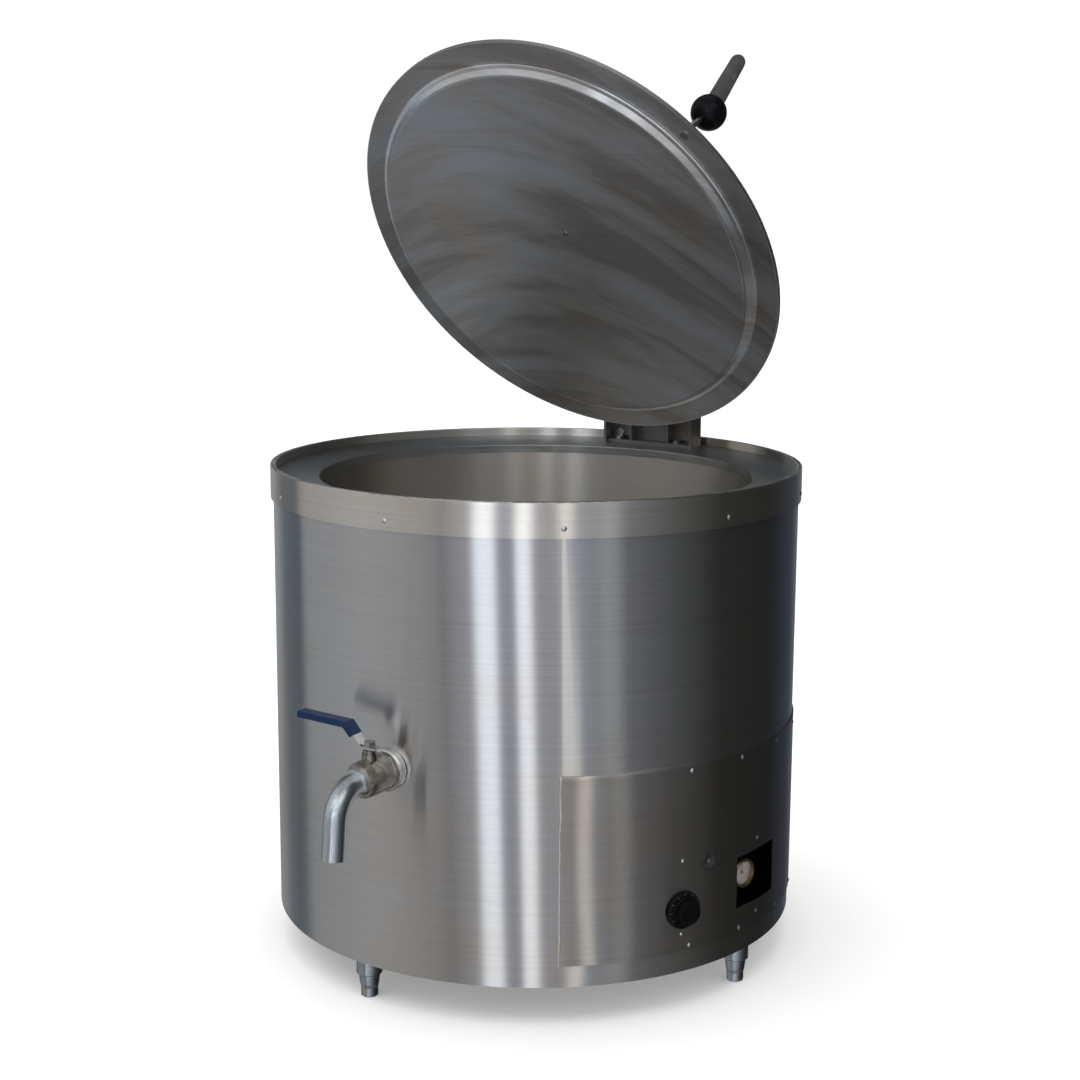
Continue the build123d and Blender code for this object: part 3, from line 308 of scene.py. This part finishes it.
def pan_stains_and_painted_reflection(m, P, c):
    """Long soft streaks across the lid's inner face that bow from upper left to lower right: the lighter, bluer ones
    are painted reflection, the darker ones are old wipes and stains.
    """
    s = m.sep(P)
    x, y = s[0], m.math("ADD", s[1], 0.377)
    # bowed coordinate: lines of constant v are shallow arcs
    v = m.math("ADD", m.math("ADD", m.math("MULTIPLY", x, -0.30), y), m.math("MULTIPLY", m.math("MULTIPLY", x, x), -1.3))
    u = m.math("ADD", x, m.math("MULTIPLY", y, 0.44))
    q = m.comb(m.math("MULTIPLY", u, 1.6), m.math("MULTIPLY", v, 9.0), 0.0)
    a = m.noise(q, 1.0, 4.0, 0.62, 0.35)
    b = m.noise(m.vmath("MULTIPLY", q, (2.2, 3.4, 1.0)), 1.0, 3.0, 0.6, 0.5)
    c = m.mix(m.remap(a, 0.44, 0.60, 0.0, 0.72, True), c, m.mix(1.0, c, (0.62, 0.59, 0.56), "MULTIPLY"))
    # painted reflection: lighter, bluer streaks along the bows
    c = m.mix(m.remap(a, 0.48, 0.34, 0.0, 0.80, True), c, m.mix(1.0, c, (1.08, 1.18, 1.32), "MULTIPLY"))
    c = m.mix(m.remap(b, 0.52, 0.74, 0.0, 0.35, True), c, m.mix(1.0, c, (0.72, 0.68, 0.64), "MULTIPLY"))
    return c


# the plug ring's colour gain of 1.60 is painted highlight
MAT["pan"] = steel("brushed_lid_underside", (0.445, 0.455, 0.475), 0.38, 0.85, pan_tangent, (2.4, 430.0, 60.0), stain=0.14, wob=0.0016,
                   wob_vec=(4.0, 4.0, 4.0), coords=lid_coords, line_amp=0.10, colour_overlay=pan_stains_and_painted_reflection, turned=(0.3275, 0.3415, 1.60, 0.24))
MAT["lid_top"] = steel("brushed_lid_top", (0.58, 0.58, 0.58), 0.34, 0.75, lid_tangent, (2.4, 430.0, 60.0), stain=0.10, wob=0.0016,
                       wob_vec=(4.0, 4.0, 4.0), coords=lid_coords)
MAT["hinge"] = steel("dull_hinge_steel", (0.25, 0.25, 0.255), 0.46, 0.3, up_tangent, (9.0, 9.0, 300.0), stain=0.30, blotch=22.0, line_amp=0.12)
MAT["plate"] = steel("mill_stainless", (0.50, 0.50, 0.50), 0.34, 0.4, up_tangent, (9.0, 9.0, 420.0), stain=0.16, blotch=16.0)


def zinc():
    m = Mat("galvanised")
    P = m.obj()
    v = m.n("TexVoronoi")
    m.put(v.inputs["Vector"], P)
    v.inputs["Scale"].default_value = 190.0
    cells = m.sep(v.outputs["Color"])[0]
    cloud = m.noise(P, 46.0, 3.0, 0.6, 0.3)
    c = m.mix(cells, (0.37, 0.40, 0.425), (0.44, 0.47, 0.49))
    c = m.mix(m.remap(cloud, 0.55, 0.78, 0.0, 0.40, True), c, (0.25, 0.265, 0.28))
    r = m.math("ADD", m.remap(cells, 0, 1, 0.24, 0.30), m.remap(cloud, 0.3, 0.8, -0.02, 0.08))
    n = m.bump(m.noise(P, 120.0, 2.0, 0.5), 0.30, 0.0003)
    m.set(color=c, metal=1.0, rough=r, normal=n)
    return m.m


def tube():
    m = Mat("drawn_tube")
    P = m.obj()
    draw = m.noise(m.stretched(P, (420.0, 420.0, 26.0)), 1.0, 3.0, 0.6)
    cloud = m.noise(P, 34.0, 3.0, 0.55, 0.3)
    c = m.mix(m.remap(draw, 0.3, 0.7, 0, 1), (0.50, 0.545, 0.575), (0.66, 0.70, 0.72))
    c = m.mix(m.remap(cloud, 0.5, 0.78, 0.0, 0.35, True), c, (0.34, 0.37, 0.40))
    m.set(color=c, metal=1.0, rough=m.remap(cloud, 0.3, 0.8, 0.21, 0.29), normal=m.bump(draw, 0.3, 0.00010, m.bump(cloud, 0.4, 0.0006)))
    return m.m


def nickel():
    m = Mat("nickel_plated")
    P = m.obj()
    cloud = m.noise(P, 60.0, 3.0, 0.6, 0.5)
    grit = m.noise(P, 900.0, 2.0, 0.6)
    c = m.mix(m.remap(cloud, 0.35, 0.7, 0, 1, True), (0.46, 0.425, 0.39), (0.24, 0.21, 0.185))
    c = m.mix(m.remap(grit, 0.60, 0.85, 0.0, 0.3), c, (0.16, 0.13, 0.11))
    r = m.remap(cloud, 0.3, 0.75, 0.16, 0.26)
    n = m.bump(grit, 0.5, 0.00008, m.bump(cloud, 0.5, 0.0005))
    m.set(color=c, metal=1.0, rough=r, normal=n)
    return m.m


def bright():
    m = Mat("bright_stainless")
    P = m.obj()
    turn = m.noise(m.stretched(P, (60.0, 60.0, 900.0)), 1.0, 2.0, 0.6)
    cloud = m.noise(P, 70.0, 3.0, 0.55, 0.3)
    c = m.mix(m.remap(turn, 0.3, 0.7, 0, 1), (0.60, 0.59, 0.575), (0.72, 0.715, 0.70))
    c = m.mix(m.remap(cloud, 0.55, 0.8, 0.0, 0.4, True), c, (0.40, 0.38, 0.35))
    m.set(color=c, metal=1.0, rough=m.remap(cloud, 0.3, 0.8, 0.16, 0.30), normal=m.bump(turn, 0.3, 0.00005))
    return m.m


def brass():
    m = Mat("brass_fitting")
    P = m.obj()
    cloud = m.noise(P, 80.0, 3.0, 0.6, 0.5)
    fine = m.noise(P, 600.0, 2.0, 0.6)
    c = m.mix(m.remap(cloud, 0.3, 0.7, 0, 1, True), (0.55, 0.40, 0.19), (0.34, 0.23, 0.11))
    m.set(color=c, metal=1.0, rough=m.remap(cloud, 0.3, 0.8, 0.26, 0.46), normal=m.bump(fine, 0.4, 0.0001))
    return m.m


def plastic(name, color, rough, coat=0.0, grain=700.0, amp=0.25, bump=0.00008, dust=0.05, spec=0.5):
    m = Mat(name)
    P = m.obj()
    g = m.noise(P, grain, 2.0, 0.6)
    cloud = m.noise(P, 55.0, 3.0, 0.6, 0.3)
    c = m.mix(g, tuple(x * (1 - amp) for x in color), tuple(min(1, x * (1 + amp)) for x in color))
    c = m.mix(m.remap(cloud, 0.5, 0.8, 0.0, dust, True), c, (0.30, 0.29, 0.27))
    m.set(color=c, metal=0.0, rough=m.remap(cloud, 0.3, 0.8, rough, rough + 0.12), normal=m.bump(g, 0.5, bump), spec=spec)
    if coat:
        m.set(coat=coat, coat_rough=0.08)
    return m.m


def wool():
    m = Mat("mineral_wool")
    P = m.obj()
    f = m.noise(P, 260.0, 4.0, 0.7, 1.2)
    b = m.noise(P, 14.0, 3.0, 0.6)
    c = m.mix(f, (0.52, 0.44, 0.22), (0.78, 0.70, 0.42))
    c = m.mix(m.remap(b, 0.45, 0.75, 0, 0.6, True), c, (0.55, 0.42, 0.20))
    m.set(color=c, metal=0.0, rough=0.95, normal=m.bump(f, 0.9, 0.003), sheen=0.2)
    return m.m


def glass():
    m = Mat("gauge_glass")
    P = m.obj()
    d = m.noise(P, 240.0, 2.0, 0.5)
    m.set(color=(0.97, 0.98, 0.98), metal=0.0, rough=m.remap(d, 0.3, 0.9, 0.01, 0.07), ior=1.5, trans=1.0)
    return m.m


def polar(m, centre, xdir, ydir):
    """(radius, angle clockwise from up) round an axis through centre, from object coordinates."""
    v = m.vmath("SUBTRACT", m.obj(), tuple(centre))
    x = m.vmath("DOT_PRODUCT", v, tuple(xdir))
    y = m.vmath("DOT_PRODUCT", v, tuple(ydir))
    r = m.math("SQRT", m.math("ADD", m.math("MULTIPLY", x, x), m.math("MULTIPLY", y, y)))
    a = m.math("ARCTAN2", x, y)
    return r, a


def band(m, v, a, b, soft):
    """1 between a and b."""
    return m.math("MULTIPLY", m.remap(v, a - soft, a + soft, 0, 1), m.remap(v, b - soft, b + soft, 1, 0))


def ticks(m, r, ang, step, half, r0, r1, span):
    """Radial tick marks every step radians from -span to span, half wide in metres."""
    f = m.math("SUBTRACT", m.math("FRACT", m.math("ADD", m.math("DIVIDE", ang, step), 0.5)), 0.5)
    off = m.math("MULTIPLY", m.math("MULTIPLY", m.math("ABSOLUTE", f), step), r)
    t = m.remap(off, half * 0.7, half * 1.3, 1, 0)
    t = m.math("MULTIPLY", t, band(m, r, r0, r1, 0.0001))
    return m.math("MULTIPLY", t, m.remap(m.math("ABSOLUTE", ang), span + 0.02, span + 0.05, 1, 0))


GAUGE_AZ, GAUGE_Z = 90.5, 0.167
KNOB_AZ, KNOB_Z = 66.1, 0.159


def dirs(az):
    a = radians(az)
    return Vector((cos(a), sin(a), 0)), Vector((0, 0, 1))


def dial():
    m = Mat("gauge_dial_face")
    xd, yd = dirs(GAUGE_AZ - 14.0)
    r, a = polar(m, at(GAUGE_AZ, 0.376, GAUGE_Z) + at(GAUGE_AZ - 14.0, 0.020, 0.0), xd, yd)
    paper = m.noise(m.obj(), 300.0, 2.0, 0.6)
    yellow = m.noise(m.obj(), 60.0, 3.0, 0.6)
    c = m.mix(paper, (0.40, 0.365, 0.33), (0.50, 0.46, 0.42))
    c = m.mix(m.remap(yellow, 0.45, 0.75, 0, 0.4, True), c, (0.36, 0.30, 0.23))
    span = radians(135)
    t = ticks(m, r, a, radians(27), 0.00035, 0.0135, 0.0175, span)
    t2 = ticks(m, r, a, radians(5.4), 0.00016, 0.0158, 0.0175, span)
    t = m.math("MAXIMUM", t, t2)
    ring = m.math("MULTIPLY", band(m, r, 0.0174, 0.0178, 0.00005), m.remap(m.math("ABSOLUTE", a), span, span + 0.03, 1, 0))
    t = m.math("MAXIMUM", t, ring)
    c = m.mix(t, c, (0.03, 0.03, 0.03))
    red = m.math("MULTIPLY", band(m, r, 0.0182, 0.0195, 0.0001), m.remap(a, radians(80), radians(82), 0, 1))
    red = m.math("MULTIPLY", red, m.remap(a, span, span + 0.03, 1, 0))
    c = m.mix(red, c, (0.50, 0.03, 0.02))
    m.set(color=c, metal=0.0, rough=m.remap(paper, 0.2, 0.8, 0.45, 0.6))
    return m.m


def knob():
    m = Mat("thermostat_knob_black")
    xd, yd = dirs(KNOB_AZ)
    r, a = polar(m, at(KNOB_AZ, 0.43, KNOB_Z), xd, yd)
    g = m.noise(m.obj(), 650.0, 2.0, 0.6)
    cloud = m.noise(m.obj(), 90.0, 3.0, 0.6)
    c = m.mix(g, (0.002, 0.002, 0.0024), (0.004, 0.004, 0.0045))
    c = m.mix(m.remap(cloud, 0.5, 0.8, 0, 0.02, True), c, (0.20, 0.19, 0.18))
    span = radians(135)
    t = ticks(m, r, a, radians(30), 0.00045, 0.0235, 0.0275, span)
    t = m.math("MAXIMUM", t, ticks(m, r, a, radians(10), 0.00022, 0.0255, 0.0275, span))
    c = m.mix(m.math("MULTIPLY", t, 0.16), c, (0.50, 0.50, 0.48))
    m.set(color=c, metal=0.0, rough=m.remap(cloud, 0.3, 0.8, 0.30, 0.42), normal=m.bump(g, 0.4, 0.00008), spec=0.06)
    return m.m


def lens():
    m = Mat("lamp_lens")
    P = m.obj()
    g = m.noise(P, 500.0, 2.0, 0.5)
    c = m.mix(g, (0.022, 0.018, 0.020), (0.045, 0.036, 0.038))
    m.set(color=c, metal=0.0, rough=m.remap(g, 0.3, 0.7, 0.06, 0.14), coat=0.6, coat_rough=0.04)
    return m.m


def needle():
    m = Mat("needle_red")
    P = m.obj()
    g = m.noise(P, 900.0, 2.0, 0.5)
    m.set(color=m.mix(g, (0.30, 0.015, 0.012), (0.42, 0.03, 0.02)), metal=0.0, rough=m.remap(g, 0.3, 0.7, 0.35, 0.5))
    return m.m


MAT["tube"] = tube()
MAT["zinc"], MAT["nickel"], MAT["bright"], MAT["brass"] = zinc(), nickel(), bright(), brass()
MAT["phenolic"] = plastic("black_phenolic", (0.0030, 0.0030, 0.0042), 0.10, grain=400.0, bump=0.00001, dust=0.004, spec=0.13)
MAT["grip"] = plastic("grey_grip", (0.046, 0.047, 0.048), 0.55, grain=1200.0, amp=0.45, bump=0.00014, dust=0.14, spec=0.3)
MAT["vinyl"] = plastic("blue_vinyl", (0.0025, 0.018, 0.062), 0.26, grain=300.0, amp=0.5, bump=0.0004, dust=0.03, spec=0.22)
MAT["black"] = plastic("black_moulding", (0.014, 0.014, 0.015), 0.34, grain=800.0, dust=0.10)
MAT["grey"] = plastic("grey_moulding", (0.24, 0.24, 0.235), 0.45, grain=900.0)
MAT["cable"] = plastic("cable_sheath", (0.02, 0.02, 0.021), 0.55, grain=500.0)
MAT["seat"] = plastic("white_seat", (0.78, 0.78, 0.76), 0.4, grain=300.0, amp=0.05)
MAT["wool"], MAT["glass"], MAT["dial"], MAT["knob"], MAT["lens"], MAT["needle"] = wool(), glass(), dial(), knob(), lens(), needle()

USE = {
    "shell": ["outer_shell"],
    "panel": ["control_panel_cover"],
    "rim": ["rim_band"],
    "deck": ["deck_ring"],
    "vessel": ["inner_vessel", "vessel_dished_end"],
    "pan": ["lid_under_pan"],
    "lid_top": ["lid_top_skin"],
    "plate": ["steam_jacket", "base_plate", "outlet_pipe", "element_flange",
              "heating_elements", "low_water_probe", "component_plate"],
    "hinge": ["lid_hinge_leaf", "hinge_bracket", "hinge_bushes"],
    "zinc": ["leg_tubes", "foot_1", "foot_2", "foot_3", "foot_4", "lever_nut"],
    "tube": ["spout"],
    "nickel": ["valve_body", "valve_stem", "valve_gland_nut"],
    "bright": ["rim_rivets", "lid_fasteners", "lid_knob_stud", "bracket_and_flange_bolts", "hinge_pin", "outlet_collar", "valve_ball",
               "valve_lever", "panel_screws"],
    "brass": ["gauge_case", "gauge_manifold", "safety_valve_body", "safety_valve_knob", "thermostat_bulb"],
    "phenolic": ["lid_ball_knob"],
    "grip": ["lid_grip_bar"],
    "vinyl": ["lever_sleeve"],
    "black": ["lamp_body", "element_terminal_cap", "cable_gland"],
    "grey": ["thermostat_body", "contactor", "terminal_block"],
    "cable": ["wiring_loom"],
    "seat": ["valve_seats"],
    "wool": ["insulation", "lid_insulation"],
    "glass": ["gauge_glass"],
    "dial": ["gauge_dial"],
    "knob": ["thermostat_knob"],
    "lens": ["lamp_lens"],
    "needle": ["gauge_needle"],
}
for key, names in USE.items():
    for n in names:
        o = N[n]
        o.data.materials.clear()
        o.data.materials.append(MAT[key])
left = set(N) - {n for ns in USE.values() for n in ns}
if left:
    raise RuntimeError("no material for %s" % sorted(left))


# ---------------------------------------------------------------- floor and light
def make_floor():
    m = Mat("pale_floor")
    v = m.noise(m.obj(), 3.0, 3.0, 0.6)
    m.set(color=m.mix(v, (0.80, 0.80, 0.795), (0.83, 0.83, 0.825)), metal=0.0, rough=0.8, spec=0.1)
    m.bsdf.inputs["Emission Color"].default_value = (1.0, 1.0, 1.0, 1.0)
    m.bsdf.inputs["Emission Strength"].default_value = 0.22
    bm = bmesh.new()
    bmesh.ops.create_circle(bm, cap_ends=True, segments=96, radius=60.0)
    me = bpy.data.meshes.new("floor")
    bm.to_mesh(me)
    bm.free()
    o = bpy.data.objects.new("floor", me)
    me.materials.append(m.m)
    bpy.context.scene.collection.objects.link(o)
    o.visible_glossy = False


make_floor()

# a soft studio room: tall diffused windows on one side, a plain grey wall on the left, dark drapes on the right
ROOM = [  # degrees to the right of the camera as seen from the kettle, radiance
    (-180, (0.34, 0.35, 0.36)), (-152, (0.30, 0.31, 0.32)), (-140, (0.14, 0.165, 0.19)), (-121.5, (0.115, 0.135, 0.155)),
    (-119.5, (0.355, 0.365, 0.37)), (-98, (0.37, 0.38, 0.39)), (-78, (0.42, 0.425, 0.43)), (-58, (0.37, 0.37, 0.37)),
    (-44, (0.31, 0.31, 0.305)), (-40, (0.23, 0.225, 0.25)), (-36, (0.33, 0.33, 0.35)), (-27.5, (0.40, 0.40, 0.42)),
    (-25.2, (1.25, 1.34, 1.44)), (-18.5, (1.28, 1.36, 1.44)), (-16.5, (0.37, 0.38, 0.45)), (-10.0, (0.34, 0.34, 0.39)),
    (-8.0, (1.30, 1.36, 1.42)), (-3.5, (1.32, 1.36, 1.40)), (-1.0, (0.40, 0.40, 0.44)), (7.5, (0.36, 0.36, 0.39)),
    (10.5, (0.92, 0.92, 0.90)), (14.5, (0.90, 0.90, 0.88)), (17.0, (0.33, 0.36, 0.42)), (25.5, (0.28, 0.30, 0.32)),
    (28.5, (0.36, 0.38, 0.40)), (34.0, (0.31, 0.33, 0.35)), (38.0, (0.16, 0.165, 0.18)), (45, (0.13, 0.135, 0.15)),
    (62, (0.080, 0.084, 0.085)), (84, (0.024, 0.025, 0.024)), (120, (0.016, 0.017, 0.016)), (150, (0.05, 0.06, 0.085)),
]


HIGH = 1.5      # the windows are brighter above the horizon


def make_world():
    w = bpy.data.worlds.new("studio")
    bpy.context.scene.world = w
    w.use_nodes = True
    m = Mat.__new__(Mat)
    m.nt = w.node_tree
    m.nt.nodes.clear()
    out = m.n("OutputWorld")
    d = m.n("TexCoord").outputs["Generated"]
    s = m.sep(m.vmath("NORMALIZE", d))
    el = m.math("ARCSINE", s[2])
    az = m.math("ARCTAN2", s[0], m.math("MULTIPLY", s[1], -1.0))
    t = m.math("FRACT", m.math("ADD", m.math("DIVIDE", m.math("SUBTRACT", az, radians(VIEW_AZ)), 2 * pi), 1.5))
    stops = sorted(((a + 180) / 360.0, tuple(c / 2.0 for c in col)) for a, col in ROOM)
    stops.append((1.0, tuple(c / 2.0 for c in ROOM[0][1])))
    # a colour ramp holds 32 stops, so the ring is drawn by two of them
    half = len(stops) // 2
    a = m.ramp(t, stops[:half + 1])
    b = m.ramp(t, stops[half:])
    ring = m.mix(m.math("GREATER_THAN", t, stops[half][0]), a, b)
    high = m.remap(el, radians(-4), radians(10), 2.0, 2.0 * HIGH, True)
    ring = m.vmath("SCALE", ring, high)
    # behind the kettle and above: dim; in front and above: the tops of the windows
    back = m.math("MULTIPLY", m.math("ADD", m.remap(t, 25 / 360.0, 50 / 360.0, 1, 0, True), m.remap(t, 310 / 360.0, 340 / 360.0, 0, 1, True)),
                  m.remap(el, radians(2), radians(10), 0, 1, True))
    c = m.mix(back, ring, m.mix(m.remap(t, 0.3, 0.7, 0, 1), (0.13, 0.145, 0.16), (0.045, 0.047, 0.05)))
    tops = m.math("MULTIPLY", m.math("MULTIPLY", m.remap(t, 92 / 360.0, 140 / 360.0, 0, 1, True), m.remap(t, 222 / 360.0, 246 / 360.0, 1, 0, True)),
                  m.remap(el, radians(25), radians(30), 0, 1, True))
    c = m.mix(tops, c, (1.05, 1.08, 1.10))
    c = m.mix(m.remap(el, radians(50), radians(66), 0, 1, True), c, (0.42, 0.43, 0.44))
    c = m.mix(m.remap(el, radians(-36), radians(-52), 0, 1, True), c, (0.20, 0.195, 0.185))
    bg = m.n("Background")
    m.put(bg.inputs[0], c)
    bg.inputs[1].default_value = 1.0
    soft = m.n("Background")
    soft.inputs[0].default_value = (1.0, 1.0, 1.0, 1.0)
    soft.inputs[1].default_value = 0.95
    white = m.n("Background")
    white.inputs[0].default_value = (1.0, 1.0, 1.0, 1.0)
    white.inputs[1].default_value = 1.04
    lp = m.n("LightPath")
    m1, m2 = m.n("MixShader"), m.n("MixShader")
    m.link(lp.outputs["Is Glossy Ray"], m1.inputs[0])
    m.link(soft.outputs[0], m1.inputs[1])
    m.link(bg.outputs[0], m1.inputs[2])
    m.link(lp.outputs["Is Camera Ray"], m2.inputs[0])
    m.link(m1.outputs[0], m2.inputs[1])
    m.link(white.outputs[0], m2.inputs[2])
    m.link(m2.outputs[0], out.inputs[0])


make_world()


def make_lights():
    # a large soft overhead source for the floor and the plastics; the steel mirrors the room instead
    d = bpy.data.lights.new("overhead", "SUN")
    d.energy = 1.1
    d.angle = radians(70)
    d.color = (1.0, 1.0, 1.0)
    o = bpy.data.objects.new("overhead", d)
    o.rotation_euler = (radians(12), radians(-14), 0)
    bpy.context.scene.collection.objects.link(o)
    o.visible_glossy = False


make_lights()
